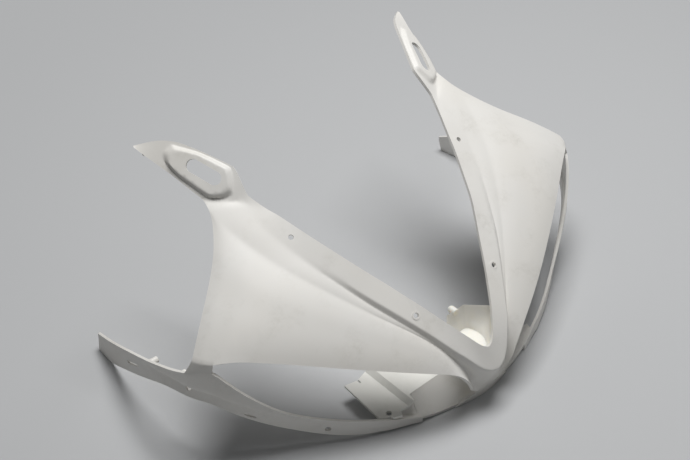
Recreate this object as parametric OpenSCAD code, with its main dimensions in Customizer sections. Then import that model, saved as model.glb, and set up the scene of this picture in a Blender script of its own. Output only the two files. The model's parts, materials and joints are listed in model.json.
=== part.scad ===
// Upper nose fairing of a sport motorcycle, bare moulded plastic.
// X is across (the rider's left is +X), -Y is the front, Z = 0 is the surface it rests on.

/* [Overall] */
// Width over the side bands
width = 541; // [500:1:580]
// Length from the lip of the nose to the rear of the side bands
length = 356; // [330:1:380]
// Height of the mirror arms above the ground
height = 251; // [235:1:270]

/* [Moulding] */
// Wall thickness of the moulded shell
wall = 3; // [2.4:0.1:4]
// Height of the moulded step beside the screen ledge
ledge_step = 4; // [2:0.5:6]
// Width of the slope at the foot of that step
ledge_run = 5; // [3:0.5:8]
// Outward crown of the upper panels
panel_crown = 6; // [0:1:12]
// Depth of the chin floor behind the front rim
floor_depth = 35; // [28:1:42]
// Thickness of the chin floor
floor_t = 3; // [2.4:0.1:3.5]

/* [Mirror arms] */
// Height of the raised mirror pad
pad_h = 4; // [2:0.5:6]
// Overall length of the mirror slot
slot_len = 40; // [34:1:44]
// Width of the mirror slot
slot_w = 14; // [10:1:17]
// Diameter of the locating pin near the arm's tip
arm_pin_d = 4; // [3:0.5:6]
// How far that pin stands out
arm_pin_len = 5; // [3:0.5:8]

/* [Screen holes] */
// Diameter of the four screen screw holes
screw_d = 5.5; // [4:0.1:7]
// Diameter of the moulded ring around each front screw hole
screw_ring_d = 9; // [8:0.5:14]
// How far that ring stands proud
screw_ring_h = 0.4; // [0.4:0.1:1.5]

/* [Lower flange] */
// How far the flange is set back from the outer skin
joggle = 2.5; // [1.5:0.5:4]
// Diameter of the round flange holes
flange_hole_d = 6.5; // [5:0.5:8]
// Height of the flange slots
flange_slot_h = 3; // [3:0.5:6]
// Length of the rear flange slot
rear_slot_len = 32; // [20:1:36]
// Length of the front flange slot
front_slot_len = 17; // [12:1:22]
// Diameter of the small bosses inside the rear flange
boss_d = 7; // [5:0.5:9]
// How far those bosses stand in from the flange
boss_len = 5; // [4:0.5:8]

/* [Nose tray] */
// Wall thickness of the tray
tray_wall = 2.5; // [2:0.1:3.5]
// Height of the tray's rim above the ground
tray_rim_z = 88; // [84:1:90]
// Depth of the tray
tray_depth = 27; // [20:1:30]
// Diameter of the peg behind the tray
peg_d = 8; // [5:0.5:10]
// Length of the peg
peg_len = 11; // [8:1:18]

/* [Lamp plate] */
// Thickness of the lamp plate
plate_t = 2.5; // [2:0.1:3.5]
// Height of the step across the lamp plate
plate_step = 5; // [3:0.5:7]
// Diameter of the hole in the lamp plate
plate_hole_d = 6; // [4:0.5:8]

/* [Hidden] */
$fn = 32;

// The control points below are laid out for this width, length and height
drawn = [541, 356, 251];
function lay(p) = [p[0] * width / drawn[0], p[1] * length / drawn[1], p[2] * height / drawn[2]];
function laid(list) = [for (p = list) lay(p)];

// Stations from the centre of the nose back to the rear of the lamp pillar.
// Each line of control points is one long edge of the half shell, in millimetres.
v_edge = laid([[0, -167, 72], [7, -164.5, 75.5], [12, -160, 81], [18, -153, 88.5], [24.5, -145, 96.5],
    [31, -136, 104.5], [38, -125.5, 113], [45, -115, 122], [53, -102, 131], [61, -89, 140.5],
    [70, -75, 150.5], [79, -60, 160.5], [87, -43, 169.5], [95, -26, 178.5], [102, -10, 186.5],
    [108, 5, 193.5], [113, 17, 199.5], [117, 26, 203], [120, 33, 206]]);
lip = laid([[0, -180, 49], [9, -178.5, 51], [17, -174.5, 57], [24, -169, 66], [30, -163, 74],
    [37, -156, 82], [45, -145, 92.5], [54, -132.5, 103.5], [64, -118.5, 115], [74, -104, 126],
    [84, -88.5, 136.5], [93, -72, 146.5], [101, -55, 156], [109, -38, 165], [116, -21, 174],
    [122, -4, 183.5], [127, 13, 193], [129.5, 28.5, 201], [129.5, 42, 208]]);
lamp_top = laid([[0, -163, 12], [7, -164, 13], [13, -165, 15], [18, -166, 18], [22, -167.5, 24],
    [28, -171, 37], [34, -171, 49], [44, -168, 61], [60, -160.5, 69], [85, -148, 79],
    [115, -131, 90.5], [147, -111, 102], [180, -89, 113.5], [208, -69, 121.5], [228, -54.5, 126],
    [241, -45.5, 126.3], [247.5, -40, 125], [255, -31.5, 125.5], [259, -22, 125.5]]);
rim = laid([[0, -162, 0], [25, -159, 0], [50, -153.5, 2], [75, -147, 7], [98, -138, 14],
    [109, -134, 17], [120, -129, 20.5], [132, -123, 24], [145, -115.5, 27.5], [158, -107.5, 32],
    [172, -99.5, 38.5], [186, -91.5, 46], [202, -82, 57], [218, -72, 73], [233, -60.5, 91],
    [244, -49.5, 107], [250.5, -40.5, 115.5], [260, -29, 113], [267, -18, 111.5]]);
// Rear edge of the upper panel, from the arm's inner root out to the lamp pillar
rear_edge = laid([[133, 45, 208.5], [140, 50, 209], [147, 55, 209], [154.5, 60.5, 208.5],
    [162, 67, 208], [165.5, 57, 202], [173, 46, 194.5], [185, 31, 184], [203, 16, 169.5],
    [224, 1, 155.5], [245, -13, 138.5], [259, -22, 125.5]]);
// Mirror arm: front and rear edges from the root to the tip
arm_front = laid([[120, 33, 206], [125, 46, 212], [126.5, 54, 218.5], [124, 63, 227], [122.5, 72, 235],
    [129, 86, 240], [137, 103, 245], [145, 119, 249], [153, 134, 251], [163, 147, 249.5],
    [173, 156, 246.5], [181, 162.5, 244.3]]);
arm_rear = laid([[162, 67, 208], [160.5, 77, 211.5], [161.3, 79.5, 213], [162.3, 82.5, 214.5],
    [163.5, 86, 216], [166, 97, 220.5], [168.5, 108, 224.5], [171, 119, 228.5], [174, 131, 232.5],
    [177, 142, 236.5], [180, 152, 240.5], [182, 160.5, 243.8]]);
// Rear tail of the band: top edge, foot of the outer skin, bottom edge
tail_top = laid([[267, -18, 111.5], [269.5, 2, 102], [270.5, 22, 93.5], [270.5, 45, 83], [270, 68, 73.5],
    [268.5, 92, 62.5], [266, 118, 49.5], [263, 145, 36.5], [258.5, 176, 22]]);
skin_foot = laid([[75, -147, 3.6], [98, -138, 10], [109, -134, 13], [120, -129, 16.5], [132, -123, 20],
    [145, -115.5, 23.5], [158, -107.5, 28], [172, -99.5, 35], [186, -91.5, 43], [202, -82, 52],
    [218, -72, 62], [233, -60, 73], [245, -47, 81], [252, -37, 85], [261, -25, 88.5], [266, -16, 90]]);
tail_skin_foot = laid([[266, -16, 90], [268.5, 2, 88.5], [270, 22, 84.5], [270.5, 45, 79], [270, 68, 71],
    [268.5, 92, 60], [266, 118, 47], [263, 145, 34], [258.5, 176, 19.5]]);
flange_foot = laid([[75, -147.5, 0.8], [98, -138.5, 2.5], [109, -134.5, 3.2], [120, -128.5, 4],
    [132, -122.5, 5], [145, -114.5, 7], [158, -106.5, 10.5], [172, -98, 16], [186, -89, 22.5],
    [203, -78.5, 32], [220, -67, 43], [237, -54, 56],
    [249, -41, 66], [256, -31, 70.5], [264, -20, 73.5], [268, -10, 74]]);
tail_flange_foot = laid([[268, -10, 74], [270, 8, 70.5], [270.5, 27, 64], [271, 49, 54], [270.5, 72, 42.5],
    [269, 96, 30], [266.5, 122, 15.5], [264, 148, 2.5], [261.5, 175, 0]]);

// Rows from the screen edge down, and columns from the centre back
ROW_LIP = 2;
ROW_STEP = 3;
ROW_ARM = 7;
ROW_LAMP = 14;
ROW_RIM = 17;
ROW_SKIN = 18;
ROW_JOG = 19;
ROW_FOOT = 21;
per_station = 2;
COL_NOSE = 1.5 * per_station;
COL_FLANGE = 3 * per_station;
COL_PILLAR = 16 * per_station;
COL_REAR = 18 * per_station;
// Columns of the arm: the distance from its root, and the shares of the two turns below
arm_stops = [[0, 0, 0], [0.55, 0.4, 0], [1.1, 1, 0], [1.8, 0.85, 0], [4.1, 0, 0], [4.9, 0, 0],
    [5.6, 0, 0], [6.3, 0, 0], [7.6, 0, 0.9], [8.15, 0, 1], [8.7, 0, 0.5], [9.3, 0, 0.2],
    [9.9, 0, 0], [10.5, 0, 0], [11, 0, 0]];
root_turn = [1.9, 1.4, 0.75, 0.2, 0, 0.1, 0.35, 0.5];
tip_turn = [-0.45, -0.3, -0.15, 0, -0.1, -0.45, -0.85, -1.15];
COL_ARM = COL_REAR + len(arm_stops) - 1;
COL_TAIL = COL_REAR + 8 * per_station;
PAD_FIRST = 3;
PAD_LAST = 8;
lip_share = 0.8;
row_share = [0, 0.055, 0.11, 0.17, 0.23, 0.33, 0.44, 0.55, 0.66, 0.77, 0.885, 1];
root_share = [0, 0.2, 0.26, 0.38, 0.5, 0.66, 0.83, 1];
end_share = [0, 0.13, 0.27, 0.44, 0.6, 0.76, 0.87, 1];
pad_share = [0, 0.05, 0.13, 0.38, 0.62, 0.85, 0.92, 1];
tip_share = [0, 0.16, 0.3, 0.43, 0.57, 0.71, 0.86, 1];

function mix(a, b, t) = a + (b - a) * t;
function clamp(t) = max(0, min(1, t));
function ease(t) = let (c = clamp(t)) c * c * (3 - 2 * c);
function unit(v) = v / max(norm(v), 1e-9);
function flip(p) = [-p[0], p[1], p[2]];

// A smooth curve through control points; one that starts on the centre line leaves it squarely
function curve(p, s) = let (
    n = len(p) - 1,
    k = max(0, min(floor(s), n - 1)),
    t = s - k,
    b = p[k],
    c = p[k + 1],
    a = k > 0 ? p[k - 1] : b[0] == 0 ? flip(p[1]) : 2 * b - c,
    d = k + 2 <= n ? p[k + 2] : 2 * c - b)
    0.5 * (2 * b + (c - a) * t + (2 * a - 5 * b + 4 * c - d) * t * t
        + (3 * b - a - 3 * c + d) * t * t * t);

// The step beside the ledge fades out towards the rear screen hole
function step_now(s) = ledge_step * (1 + 0.9 * (1 - ease(s / 5))) * (1 - ease((s - 9) / 5));
function ledge_out(s) = unit(curve(lip, s) - curve(v_edge, s));
function ledge_up(s) = let (t = curve(lip, s + 0.1) - curve(lip, s - (s > 0.1 ? 0.1 : 0)))
    unit(cross(ledge_out(s), unit(t)));
function step_foot(s) = s > 17.9 ? rear_edge[0]
    : curve(lip, s) + ledge_out(s) * ledge_run - ledge_up(s) * step_now(s);

crown_dir = unit([0.2, -0.55, 0.8]);
function crown(s, v) = crown_dir * panel_crown * 4 * v * (1 - v) * ease((s - 4) / 10);
function panel(s, row) = let (
    v = row_share[row - ROW_STEP],
    straight = mix(step_foot(s), curve(lamp_top, s), v),
    rear = rear_edge[row - ROW_STEP] - mix(rear_edge[0], lamp_top[18], v),
    pull = pow(s / 18, 2.5))
    straight + rear * pull + crown(s, v) * (1 - pow(clamp((s - 12) / 6), 2));

// Between the lamp openings: the face of the nose in the middle, the lamp pillars at the sides
function between(s, row) = mix(curve(lamp_top, s), curve(rim, s), (row - ROW_LAMP) / (ROW_RIM - ROW_LAMP));

function band_in(p) = unit([-p[0], 60 - p[1], 0]);
function band(rim_p, skin_p, foot_p, row, set_back) = let (
    jog = skin_p + band_in(skin_p) * set_back - [0, 0, 2],
    foot = foot_p + band_in(foot_p) * set_back * 0.6)
    row == ROW_RIM ? rim_p
    : row == ROW_SKIN ? skin_p
    : mix(jog, foot, (row - ROW_JOG) / (ROW_FOOT - ROW_JOG));

function body_point(s, row) =
    row == 0 ? curve(v_edge, s)
    : row <= ROW_LIP ? mix(curve(v_edge, s), curve(lip, s), row == ROW_LIP ? 1 : lip_share)
    : row <= ROW_LAMP ? panel(s, row)
    : row < ROW_RIM ? between(s, row)
    : row == ROW_RIM || s < 3 ? curve(rim, s)
    : band(curve(rim, s), curve(skin_foot, s - 3), curve(flange_foot, s - 3), row,
        joggle * ease((s - 8) / 4));

// The arm's rows and columns bend round the raised pad, whose outline is a rounded wedge
arm_normal = unit([0.55, -0.44, 0.71]);
function arm_share(i, row) =
    i < 2 ? mix(root_share[row], end_share[row], i / 2)
    : i > PAD_FIRST && i < PAD_LAST ? pad_share[row]
    : mix(end_share[row], tip_share[row], clamp((i - PAD_LAST - 1) / 2));
function arm_point(i, row) = let (
    a = arm_stops[i] * [1, root_turn[row], tip_turn[row]],
    raised = i >= PAD_FIRST && i <= PAD_LAST && row >= 2 && row <= 5)
    mix(curve(arm_front, a), curve(arm_rear, a), arm_share(i, row))
        + arm_normal * (raised ? pad_h : 0);

function tail_point(s, row) =
    band(curve(tail_top, s), curve(tail_skin_foot, s), curve(tail_flange_foot, s), row,
        joggle * (1 - ease(s / 5)));

function half_point(i, row) =
    i <= COL_REAR ? body_point(i / per_station, row)
    : row <= ROW_ARM ? arm_point(i - COL_REAR, row)
    : tail_point((i - COL_REAR) / per_station, row);
function grid_point(i, row) = i < 0 ? flip(half_point(-i, row)) : half_point(i, row);

// Which cells of the grid are plastic; the lamp openings and the rear gaps are left out
function half_cell(i, row) =
    row < ROW_LAMP ? (i < COL_REAR || (row < ROW_ARM && i < COL_ARM))
    : row < ROW_RIM ? (i < COL_NOSE || (i >= COL_PILLAR && i < COL_REAR))
    : i >= COL_FLANGE && i < COL_TAIL;
COLS = max(COL_ARM, COL_TAIL);
function cell(i, row) = row >= 0 && row < ROW_FOOT && i >= -COLS && i < COLS
    && half_cell(i < 0 ? -i - 1 : i, row);

outer = [for (i = [-COLS:COLS]) [for (row = [0:ROW_FOOT])
    cell(i, row) || cell(i - 1, row) || cell(i, row - 1) || cell(i - 1, row - 1)
        ? grid_point(i, row) : [0, 0, 50]]];
function at(i, row) = outer[i + COLS][row];
function cell_normal(i, row) = cell(i, row)
    ? cross(at(i + 1, row + 1) - at(i, row), at(i, row + 1) - at(i + 1, row)) : [0, 0, 0];
function face_dir(i, row) = unit(unit(cell_normal(i, row)) + unit(cell_normal(i - 1, row))
    + unit(cell_normal(i, row - 1)) + unit(cell_normal(i - 1, row - 1)));
// The arm has one wall direction, so that the pad's steep sides don't fold inside
function wall_dir(i, row) = abs(i) >= COL_REAR + 2 && row <= ROW_ARM
    ? -[sign(i) * arm_normal[0], arm_normal[1], arm_normal[2]] : face_dir(i, row);
function id(i, row, side) = ((i + COLS) * (ROW_FOOT + 1) + row) * 2 + side;

module skin() {
    points = [for (i = [-COLS:COLS]) for (row = [0:ROW_FOOT]) for (side = [0, 1])
        at(i, row) + (side == 1 ? wall_dir(i, row) * wall : [0, 0, 0])];
    // one quad outside and one inside a cell, and a rim quad on each side that has no neighbour
    function quad(i, row, a, j, row_b, b) = [id(i, row, a), id(i, row, b), id(j, row_b, b), id(j, row_b, a)];
    faces = [for (i = [-COLS:COLS - 1]) for (row = [0:ROW_FOOT - 1]) if (cell(i, row)) each concat(
        [[id(i, row, 0), id(i + 1, row, 0), id(i + 1, row + 1, 0), id(i, row + 1, 0)],
        [id(i, row, 1), id(i, row + 1, 1), id(i + 1, row + 1, 1), id(i + 1, row, 1)]],
        cell(i, row - 1) ? [] : [quad(i, row, 0, i + 1, row, 1)],
        cell(i, row + 1) ? [] : [quad(i + 1, row + 1, 0, i, row + 1, 1)],
        cell(i - 1, row) ? [] : [quad(i, row + 1, 0, i, row, 1)],
        cell(i + 1, row) ? [] : [quad(i + 1, row, 0, i + 1, row + 1, 1)])];
    polyhedron(points = points, faces = faces, convexity = 12);
}

// Chin floor: a sagging sheet from inside the front rim back to a straight rear edge
floor_lift = 0.4;
floor_sag = 3;
floor_stops = [0, 0.5, 1, 1.5, 2, 2.5, 3, 3.15, 4];
floor_rear = laid([[0, 0, 24.5], [12.5, 0, 24.5], [25, 0, 24.5], [37.5, 0, 24.5], [50, 0, 24.5],
    [61, 0, 24.5], [72.5, 0, 24.5], [73.9, -4, 17.5], [95, -4, 15.5]]);
floor_rows = 4;
function floor_front(s) = let (
    p = curve(rim, s),
    q = p + band_in(p) * wall * floor_lift)
    [q[0], q[1], max(p[2] - floor_lift, floor_t + floor_lift)];
function floor_point(j, row) = let (
    front = floor_front(floor_stops[j]),
    rear = floor_rear[j] + [0, rim[0][1] + floor_depth, 0],
    v = row / floor_rows)
    mix(front, rear, v) - [0, 0, floor_sag * 4 * v * (1 - v)];

module chin_floor() {
    last = len(floor_stops) - 1;
    row_n = floor_rows + 1;
    points = [for (j = [-last:last]) for (row = [0:floor_rows]) for (down = [0, floor_t])
        let (p = floor_point(abs(j), row)) [sign(j) * p[0], p[1], p[2] - down]];
    function corner(j, row, side) = ((j + last) * row_n + row) * 2 + side;
    faces = concat(
        [for (j = [-last:last - 1]) for (row = [0:floor_rows - 1]) for (side = [0, 1])
            let (q = [corner(j, row, side), corner(j, row + 1, side), corner(j + 1, row + 1, side),
                corner(j + 1, row, side)]) side == 0 ? q : [q[3], q[2], q[1], q[0]]],
        [for (j = [-last:last - 1]) for (row = [0, floor_rows])
            let (q = [corner(j, row, 0), corner(j + 1, row, 0), corner(j + 1, row, 1), corner(j, row, 1)])
            row == 0 ? q : [q[3], q[2], q[1], q[0]]],
        [for (row = [0:floor_rows - 1]) for (j = [-last, last])
            let (q = [corner(j, row, 0), corner(j, row, 1), corner(j, row + 1, 1), corner(j, row + 1, 0)])
            j < 0 ? q : [q[3], q[2], q[1], q[0]]]);
    polyhedron(points = points, faces = faces, convexity = 6);
}

// Turns local X along one direction and local Z along another, as the hole cutters need
module aim(p, z_dir, x_dir = [0, 1, 0]) {
    z = unit(z_dir);
    y = unit(cross(z, x_dir));
    x = cross(y, z);
    multmatrix([[x[0], y[0], z[0], p[0]], [x[1], y[1], z[1], p[1]], [x[2], y[2], z[2], p[2]], [0, 0, 0, 1]])
        children();
}

module both() {
    children();
    mirror([1, 0, 0]) children();
}

// A slot with round ends, cut through a wall at the aim
module slot(length, width, depth) {
    r = width / 2;
    cube([length - width, width, depth], center = true);
    for (end = [-1, 1]) translate([end * (length / 2 - r), 0, 0]) cylinder(r = r, h = depth, center = true);
}

// The screen screws stand square to the ledge, at these stations and shares of its width
screw_rear = [14.8, 0.62];
screw_front = [7.5, 0.55];
module at_screw(place) {
    aim(mix(curve(v_edge, place[0]), curve(lip, place[0]), place[1]), ledge_up(place[0]))
        children();
}

slot_mid = lay([148.1, 89, 233.4]);
slot_run = [0.34, 0.89, 0.305];
flange_rear_hole = lay([267, -15, 86]);
flange_front_hole = lay([164, -103, 21]);
flange_rear_slot = lay([268.5, 84, 50]);
flange_front_slot = lay([228.5, -64, 54.5]);
boss_middle = lay([268, 46, 79]);
boss_front = lay([266, -5, 97]);
arm_pin = lay([173, 150, 240]);
cut_depth = 8 * wall;

module shell() {
    color("whitesmoke") difference() {
        union() {
            skin();
            chin_floor();
            both() {
                // moulded ring around the front screen screw
                at_screw(screw_front) translate([0, 0, -wall / 2])
                    cylinder(d = screw_ring_d, h = wall / 2 + screw_ring_h);
                // locating pin inside the arm's tip
                aim(arm_pin, [0.2, 0.6, -0.7]) cylinder(d = arm_pin_d, h = arm_pin_len + wall);
                // small bosses inside the rear flange
                aim(boss_middle, [-1, 0, 0]) cylinder(d = boss_d, h = boss_len + wall);
                aim(boss_front, [-1, 0, 0]) cylinder(d = boss_d, h = boss_len + wall);
            }
        }
        both() {
            at_screw(screw_rear) cylinder(d = screw_d, h = cut_depth, center = true);
            at_screw(screw_front) cylinder(d = screw_d, h = cut_depth, center = true);
            aim(slot_mid, arm_normal, slot_run) slot(slot_len, slot_w, cut_depth);
            aim(flange_rear_hole, [1, -0.25, 0.1]) cylinder(d = flange_hole_d, h = cut_depth, center = true);
            aim(flange_front_hole, [0.55, -0.8, 0])
                cylinder(d = flange_hole_d, h = cut_depth, center = true);
            aim(flange_rear_slot, [1, 0, 0.1], [0, 0.9, -0.43])
                slot(rear_slot_len, flange_slot_h, cut_depth);
            aim(flange_front_slot, [0.6, -0.8, 0], [0.8, 0.55, 0.6])
                slot(front_slot_len, flange_slot_h, cut_depth);
        }
    }
}

// Tray under the apex of the screen opening; its edge follows the underside of the ledge
tray_gap = 0.4;
function ledge_under(s) = mix(curve(v_edge, s), curve(lip, s), 0.5) - ledge_up(s) * (wall + tray_gap);
function on_plan(list) = [for (p = list) let (q = lay([p[0], p[1], 0])) [q[0], q[1]]];
tray_back = on_plan([[0, -117], [6, -117], [12, -117], [17.25, -122.5], [22.5, -128], [27.75, -133.5],
    [33, -139]]);
tray_rim = concat(
    [for (p = tray_back) [p[0], p[1], tray_rim_z]],
    [for (s = [5, 4, 3, 2, 1, 0]) ledge_under(s)]);
tray_foot = on_plan([[0, -123], [5.5, -123], [10, -124], [12, -127], [13, -131], [14, -136], [14, -141],
    [13, -146], [11, -151], [8, -155.5], [5, -159], [2.5, -162], [0, -164]]);
tray_rings = [0, 0.05, 0.5, 0.9, 1];
function tray_ring(k, j) = let (
    t = tray_rings[k],
    f = [tray_foot[j][0], tray_foot[j][1], tray_rim_z - tray_depth + (k == 4 ? 0 : 1)])
    k == 0 ? tray_rim[j] : mix(tray_rim[j], f, t) + [0, 0, k == 2 ? -3 : 0];

module tray_bowl() {
    n = len(tray_rim);
    round_trip = concat([for (j = [0:n - 1]) [j, 1]], [for (j = [n - 2:-1:1]) [j, -1]]);
    m = len(round_trip);
    function tray_at(k, q) = let (e = round_trip[q % m], p = tray_ring(k, e[0])) [p[0] * e[1], p[1], p[2]];
    last = len(tray_rings) - 1;
    middle = [0, lay([0, -143, 0])[1], tray_rim_z - tray_depth];
    points = concat(
        [for (k = [0:last]) for (q = [0:m - 1]) tray_at(k, q)],
        [for (k = [0:last]) for (q = [0:m - 1]) let (p = tray_at(k, q))
            p - [0, 0, tray_wall]],
        [middle, middle - [0, 0, tray_wall]]);
    under = (last + 1) * m;
    hub = 2 * under;
    faces = concat(
        [for (k = [0:last - 1]) for (q = [0:m - 1]) let (r = (q + 1) % m)
            [k * m + q, k * m + r, (k + 1) * m + r, (k + 1) * m + q]],
        [for (k = [0:last - 1]) for (q = [0:m - 1]) let (r = (q + 1) % m)
            [under + k * m + q, under + (k + 1) * m + q, under + (k + 1) * m + r, under + k * m + r]],
        [for (q = [0:m - 1]) let (r = (q + 1) % m) [q, under + q, under + r, r]],
        [for (q = [0:m - 1]) let (r = (q + 1) % m) [last * m + q, last * m + r, hub]],
        [for (q = [0:m - 1]) let (r = (q + 1) % m) [under + last * m + r, under + last * m + q, hub + 1]]);
    polyhedron(points = points, faces = faces, convexity = 6);
}

peg_rise = 1.5;
module nose_tray() {
    color("ivory") union() {
        tray_bowl();
        translate([0, tray_rim[0][1] - 2, tray_rim_z - peg_d / 2 + peg_rise]) rotate([-90, 0, 0]) {
            cylinder(d = peg_d, h = peg_len - peg_d / 2);
            translate([0, 0, peg_len - peg_d / 2]) sphere(d = peg_d);
        }
    }
}

// Lamp plate: a stepped sheet bonded behind the front rim on the rider's right. Its upper tier
// meets the chin floor's rear edge, and its lower tier follows the inside of the rim.
plate_gap = 0.4;
floor_back = rim[0][1] + floor_depth;
plate_top_z = floor_rear[0][2];
plate_low_z = plate_top_z - plate_step;
step_x = lay([-80, 0, 0])[0];
step_run = 3;
function beside_rim(s) = let (p = curve(rim, s), q = p + band_in(p) * (wall + plate_gap)) [-q[0], q[1]];
plate_outline = concat(
    on_plan([[-112, -68], [-98, -71], [-98, -76], [-96, -76], [-96, -71], [-81, -67], [-46, -62],
        [-36, -100]]),
    [[on_plan([[-34, 0]])[0][0], floor_back + plate_gap], [-floor_rear[6][0] - 1, floor_back + plate_gap]],
    on_plan([[-76, -136], [-92, -133], [-96, -139.5], [-104, -136]]),
    [for (s = [4.8, 5.3, 5.8]) beside_rim(s)]);

// the hole keeps its distance from the rim
plate_hole = beside_rim(4.8) + [1.355, 3.804];

module lamp_plate() {
    color("honeydew") difference() {
        intersection() {
            linear_extrude(height) polygon(plate_outline);
            translate([step_x, 0, plate_low_z - plate_t]) rotate([90, 0, 0]) linear_extrude(length) polygon([
                [-width, 0], [-step_run, 0], [step_run, plate_step], [width, plate_step],
                [width, plate_step + plate_t], [step_run, plate_step + plate_t], [-step_run, plate_t],
                [-width, plate_t]]);
        }
        translate(plate_hole) cylinder(d = plate_hole_d, h = height);
    }
}

shell();
nose_tray();
lamp_plate();
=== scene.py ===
import json
import math
from collections import namedtuple

import bmesh
import bpy
from mathutils import Matrix, Vector


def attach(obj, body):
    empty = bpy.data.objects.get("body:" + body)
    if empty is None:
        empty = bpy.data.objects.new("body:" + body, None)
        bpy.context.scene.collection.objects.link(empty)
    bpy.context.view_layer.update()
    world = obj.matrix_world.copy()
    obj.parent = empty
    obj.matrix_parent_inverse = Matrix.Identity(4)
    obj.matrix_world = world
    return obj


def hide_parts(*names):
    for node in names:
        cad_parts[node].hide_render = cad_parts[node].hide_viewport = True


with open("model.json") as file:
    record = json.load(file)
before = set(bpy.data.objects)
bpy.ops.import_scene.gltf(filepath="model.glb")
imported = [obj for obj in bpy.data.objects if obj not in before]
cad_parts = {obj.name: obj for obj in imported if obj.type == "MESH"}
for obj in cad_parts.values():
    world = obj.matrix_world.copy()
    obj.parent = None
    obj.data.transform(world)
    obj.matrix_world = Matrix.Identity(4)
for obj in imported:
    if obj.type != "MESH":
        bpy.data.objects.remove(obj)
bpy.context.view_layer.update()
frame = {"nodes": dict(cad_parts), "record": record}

# The shell is the one large injection moulding of the fairing: the two side panels, the ledge round
# the screen opening, the mirror arms, the lamp pillars and the lower bands, in bare white ABS.
# The moulding is a smooth sheet of 3 mm, so the facets of its model are rounded off here.


def srgb(text):
    """Turns a hex colour into the linear values that the shaders take."""
    parts = [int(text[k:k + 2], 16) / 255 for k in (1, 3, 5)]
    linear = [p / 12.92 if p <= 0.04045 else ((p + 0.055) / 1.055) ** 2.4 for p in parts]
    return (*linear, 1.0)


def add(nodes, kind, settings=None, links=None):
    """Adds a shader node, sets its sockets or properties by name or number, and links its inputs."""
    node = nodes.new(kind)
    for key, value in (settings or {}).items():
        if isinstance(key, int) or key in node.inputs:
            node.inputs[key].default_value = value
        else:
            setattr(node, key, value)
    for key, output in (links or {}).items():
        node.id_data.links.new(output, node.inputs[key])
    return node


# Sockets of the colour mix node, which carries several of the same name
MIX_FIRST, MIX_SECOND, MIX_RESULT = 6, 7, 2


def moulded_abs(name, fresh, warm, scuff, milky=0.0):
    """Unpainted injection-moulded ABS: satin, in two close tints, with faint scuffs and dust.

    The milky share of its light sinks in a few millimetres before it comes out again.
    """
    material = bpy.data.materials.new(name)
    material.use_nodes = True
    nodes = material.node_tree.nodes
    shader = nodes["Principled BSDF"]
    place = add(nodes, "ShaderNodeTexCoord").outputs["Object"]
    # slow drift between the two tints, about 90 mm across
    drift = add(nodes, "ShaderNodeTexNoise", {"Scale": 11.0, "Detail": 2.0}, {"Vector": place})
    tint = add(nodes, "ShaderNodeMix", {"data_type": "RGBA", MIX_FIRST: srgb(fresh), MIX_SECOND: srgb(warm)},
               {"Factor": drift.outputs["Fac"]})
    # handling marks: cloudy smears about 30 mm across, and in them the fine rubbed dust
    cloud = add(nodes, "ShaderNodeTexNoise", {"Scale": 30.0, "Detail": 4.0, "Roughness": 0.6},
                {"Vector": place}).outputs["Fac"]
    dust = add(nodes, "ShaderNodeTexNoise", {"Scale": 190.0, "Detail": 6.0, "Roughness": 0.8},
               {"Vector": place}).outputs["Fac"]
    smear = add(nodes, "ShaderNodeMapRange", {"From Min": 0.5, "From Max": 0.75, "To Max": 0.42},
                {"Value": cloud})
    fine = add(nodes, "ShaderNodeMapRange", {"From Min": 0.38, "From Max": 0.68}, {"Value": dust})
    mark = add(nodes, "ShaderNodeMath", {"operation": "MULTIPLY"},
               {0: smear.outputs["Result"], 1: fine.outputs["Result"]})
    worn = add(nodes, "ShaderNodeMix", {"data_type": "RGBA", MIX_SECOND: srgb(scuff)},
               {"Factor": mark.outputs["Value"], MIX_FIRST: tint.outputs[MIX_RESULT]})
    # satin finish, a little shinier where hands have rubbed it
    sheen = add(nodes, "ShaderNodeMapRange", {"To Min": 0.56, "To Max": 0.42}, {"Value": cloud})
    # the fine eroded grain that the mould leaves
    grain = add(nodes, "ShaderNodeTexNoise", {"Scale": 1500.0, "Detail": 2.0}, {"Vector": place})
    bump = add(nodes, "ShaderNodeBump", {"Strength": 0.06, "Distance": 0.0002},
               {"Height": grain.outputs["Fac"]})
    shader.inputs["IOR"].default_value = 1.53
    shader.inputs["Subsurface Weight"].default_value = milky
    shader.inputs["Subsurface Radius"].default_value = (0.008, 0.007, 0.005)
    shader.inputs["Subsurface Scale"].default_value = 1.0
    for socket, output in (("Base Color", worn.outputs[MIX_RESULT]), ("Roughness", sheen.outputs["Result"]),
                           ("Normal", bump.outputs["Normal"])):
        material.node_tree.links.new(output, shader.inputs[socket])
    return material


# A cut hole in metres: its centre, its axis, and for a slot the way it runs and half of its straight part
Hole = namedtuple("Hole", "centre axis radius run straight")


def off_line(place, hole):
    """The way from a hole's centre line to a place, seen along the hole's axis."""
    away = place - hole.centre
    away -= hole.axis * away.dot(hole.axis)
    return away - hole.run * max(-hole.straight, min(hole.straight, away.dot(hole.run)))


def on_wall(place, hole):
    """Tells whether a point of the mesh lies on the wall of a hole."""
    wall_reach = 0.012
    wall_close = 0.00008
    near = (place - hole.centre).length < hole.straight + wall_reach
    return near and abs(off_line(place, hole).length - hole.radius) < wall_close


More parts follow.
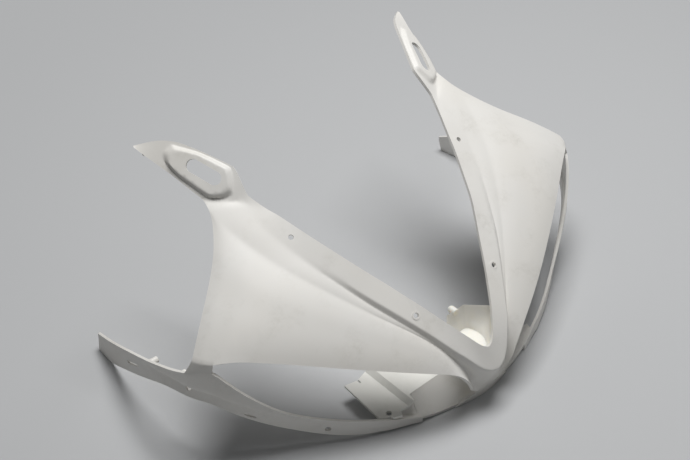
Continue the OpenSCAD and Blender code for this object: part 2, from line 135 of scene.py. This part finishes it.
def smooth_copy(node_name, piece_name, merge, holes=()):
    """Copies a CAD node's mesh and rounds its facets; wall edges stay sharp and folds stay firm.

    Edges shorter than the merge length are closed first. The walls of the holes are brought back to
    their radius after the rounding, which would shrink them.
    """
    sharp_fold, firm_fold = 62, 24
    firm_crease = 0.5
    rounding_levels = 2
    form = bmesh.new()
    form.from_mesh(frame["nodes"][node_name].data)
    bmesh.ops.remove_doubles(form, verts=form.verts, dist=1e-5)
    bmesh.ops.dissolve_degenerate(form, edges=form.edges, dist=merge)
    bmesh.ops.join_triangles(form, faces=form.faces, angle_face_threshold=math.radians(40),
                             angle_shape_threshold=math.radians(70))
    crease = form.edges.layers.float.new("crease_edge")
    for edge in form.edges:
        fold = math.degrees(edge.calc_face_angle(0))
        if fold > sharp_fold:
            edge[crease] = 1.0
            edge.smooth = False
        elif fold > firm_fold:
            edge[crease] = firm_crease
    for face in form.faces:
        face.smooth = True
    for k, hole in enumerate(holes):
        mark = form.verts.layers.float.new(f"wall_{k}")
        for vert in form.verts:
            vert[mark] = float(on_wall(vert.co, hole))
    mesh = bpy.data.meshes.new(piece_name)
    form.to_mesh(mesh)
    form.free()
    piece = bpy.data.objects.new(piece_name, mesh)
    bpy.context.scene.collection.objects.link(piece)
    rounding = piece.modifiers.new("rounding", "SUBSURF")
    rounding.levels = rounding_levels
    rounding.render_levels = rounding_levels
    bpy.context.view_layer.update()
    finished = piece.evaluated_get(bpy.context.evaluated_depsgraph_get())
    rounded = bpy.data.meshes.new_from_object(finished)
    piece.modifiers.clear()
    piece.data = rounded
    for k, hole in enumerate(holes):
        # a point between two wall points is marked in full, and one beside the wall in part
        for vert, mark in zip(rounded.vertices, rounded.attributes[f"wall_{k}"].data):
            if mark.value > 0.999:
                away = off_line(vert.co, hole)
                vert.co += away.normalized() * (hole.radius - away.length)
    for k in range(len(holes)):
        rounded.attributes.remove(rounded.attributes[f"wall_{k}"])
    return piece


def round_hole(mount, radius_mm=None):
    """The bore of a mount, or the raised ring round it where a radius is given."""
    return Hole(Vector(mount["pos_m"]), Vector(mount["axis"]).normalized(),
                (radius_mm or mount["dims"]["r_mm"]) / 1000, Vector((0, 0, 0)), 0.0)


def slot_pair(centre, axis, run, length, width):
    """A slot on the rider's left and its mirror image, from sizes in millimetres."""
    pair = []
    for side in (1, -1):
        place, along, way = (Vector((side * v[0], v[1], v[2])) for v in (centre, axis, run))
        along.normalize()
        way = (way - along * way.dot(along)).normalized()
        pair.append(Hole(place / 1000, along, width / 2000, way, (length - width) / 2000))
    return pair


screw_ring_radius = 4.5
shell_mounts = [m for m in frame["record"]["mounts"] if m["name"] != "lamp_plate_hole"]
shell_holes = (
    [round_hole(m) for m in shell_mounts]
    + [round_hole(m, screw_ring_radius) for m in shell_mounts if m["name"].startswith("screen_screw_front")]
    # the mirror's slot in the arm, and the rear and front slots of the band's flange
    + slot_pair((148.1, 89, 233.4), (0.55, -0.44, 0.71), (0.34, 0.89, 0.305), 40, 14)
    + slot_pair((268.5, 84, 50), (1, 0, 0.1), (0, 0.9, -0.43), 32, 3)
    + slot_pair((228.5, -64, 54.5), (0.6, -0.8, 0), (0.8, 0.55, 0.6), 17, 3))
shell = smooth_copy("shell", "fairing_shell", 2.5e-4, shell_holes)
shell.data.materials.append(moulded_abs("moulded_abs_shell", "#E9E8E5", "#E4E0D8", "#B9B5AA"))
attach(shell, "root")
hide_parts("shell")

# The nose tray is a thin cream-white ABS dish under the apex of the screen opening. It is bonded
# to the underside of the ledge and carries one round-headed peg at its rear edge.
tray = smooth_copy("nose_tray", "nose_tray_dish", 2e-5)
tray.data.materials.append(moulded_abs("moulded_abs_tray", "#F3F0E7", "#EEEADF", "#D3CDC0", milky=0.5))
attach(tray, "root")
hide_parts("nose_tray")

# The lamp plate is a stepped sheet of off-white ABS, bonded behind the front rim on the rider's
# right. It stays as its CAD solid.
plate = frame["nodes"]["lamp_plate"]
plate_abs = moulded_abs("moulded_abs_plate", "#ECEBE6", "#E5E4DD", "#C6C5BB")
for slot in plate.material_slots:
    slot.material = plate_abs

# The floor is a plain pale studio sweep, which the fairing rests on. Away from the fairing, where the
# lamps fall off, it shows its own plain tone to the camera, and it gives no light of its own.
bpy.ops.mesh.primitive_plane_add(size=60)
floor = bpy.context.object
floor.name = "studio_floor"
paper = bpy.data.materials.new("floor_paper")
paper.use_nodes = True
sheet = paper.node_tree.nodes
paper_shader = sheet["Principled BSDF"]
paper_shader.inputs["Base Color"].default_value = srgb("#BEBFC0")
paper_shader.inputs["Roughness"].default_value = 0.8
spot = add(sheet, "ShaderNodeTexCoord").outputs["Object"]
distance = add(sheet, "ShaderNodeVectorMath", {"operation": "LENGTH"}, {0: spot})
far = add(sheet, "ShaderNodeMapRange",
          {"interpolation_type": "SMOOTHSTEP", "From Min": 0.35, "From Max": 1.6},
          {"Value": distance.outputs["Value"]})
rays = add(sheet, "ShaderNodeLightPath").outputs
seen = add(sheet, "ShaderNodeMath", {"operation": "MAXIMUM"},
           {0: rays["Is Camera Ray"], 1: rays["Is Glossy Ray"]})
share = add(sheet, "ShaderNodeMath", {"operation": "MULTIPLY"},
            {0: far.outputs["Result"], 1: seen.outputs["Value"]})
tone = add(sheet, "ShaderNodeEmission", {"Color": srgb("#B9BABB")})
cover = add(sheet, "ShaderNodeMixShader", links={
    0: share.outputs["Value"], 1: paper_shader.outputs["BSDF"], 2: tone.outputs["Emission"]})
paper.node_tree.links.new(cover.outputs["Shader"], sheet["Material Output"].inputs["Surface"])
floor.data.materials.append(paper)

# The photograph was taken from the fairing's front right, looking down on it at 40 degrees, by a
# camera about 1.5 m away. Its axes are given in the fairing's frame.
photo_width = 690
focal_pixels = 1390
sensor_width = 36
camera_place = (-0.7234, -0.8615, 1.0739)
right = Vector((0.75709, -0.65134, -0.05064))
up = Vector((0.44985, 0.46353, 0.7634))
camera_data = bpy.data.cameras.new("photo_camera")
camera_data.sensor_width = sensor_width
camera_data.lens = focal_pixels * sensor_width / photo_width
camera = bpy.data.objects.new("photo_camera", camera_data)
bpy.context.scene.collection.objects.link(camera)
turn = Matrix((right, up, right.cross(up))).transposed().to_4x4()
camera.matrix_world = Matrix.Translation(camera_place) @ turn
bpy.context.scene.camera = camera

# A large soft box almost straight above lights it as in the photograph, which leaves the upright
# faces of the bands, the pillars and the nose in shade. A weak one at the rider's left fills in.


def soft_box(name, place, size, power):
    """Adds a square area lamp that faces the middle of the fairing."""
    data = bpy.data.lights.new(name, "AREA")
    data.shape = "SQUARE"
    data.size = size
    data.energy = power
    lamp = bpy.data.objects.new(name, data)
    lamp.location = place
    target = Vector((0, 0, 0.1))
    lamp.rotation_euler = (target - lamp.location).to_track_quat("-Z", "Y").to_euler()
    bpy.context.scene.collection.objects.link(lamp)


soft_box("top_box", (0.35, 0.12, 2.1), 1.0, 41)
soft_box("side_box", (1.9, -0.9, 1.3), 0.8, 3)

# The studio's pale walls give a little light from every side
world = bpy.data.worlds.new("studio")
bpy.context.scene.world = world
world.use_nodes = True
walls = world.node_tree.nodes["Background"]
walls.inputs["Color"].default_value = srgb("#E8EAEC")
walls.inputs["Strength"].default_value = 0.1
bpy.context.scene.view_settings.view_transform = "Standard"
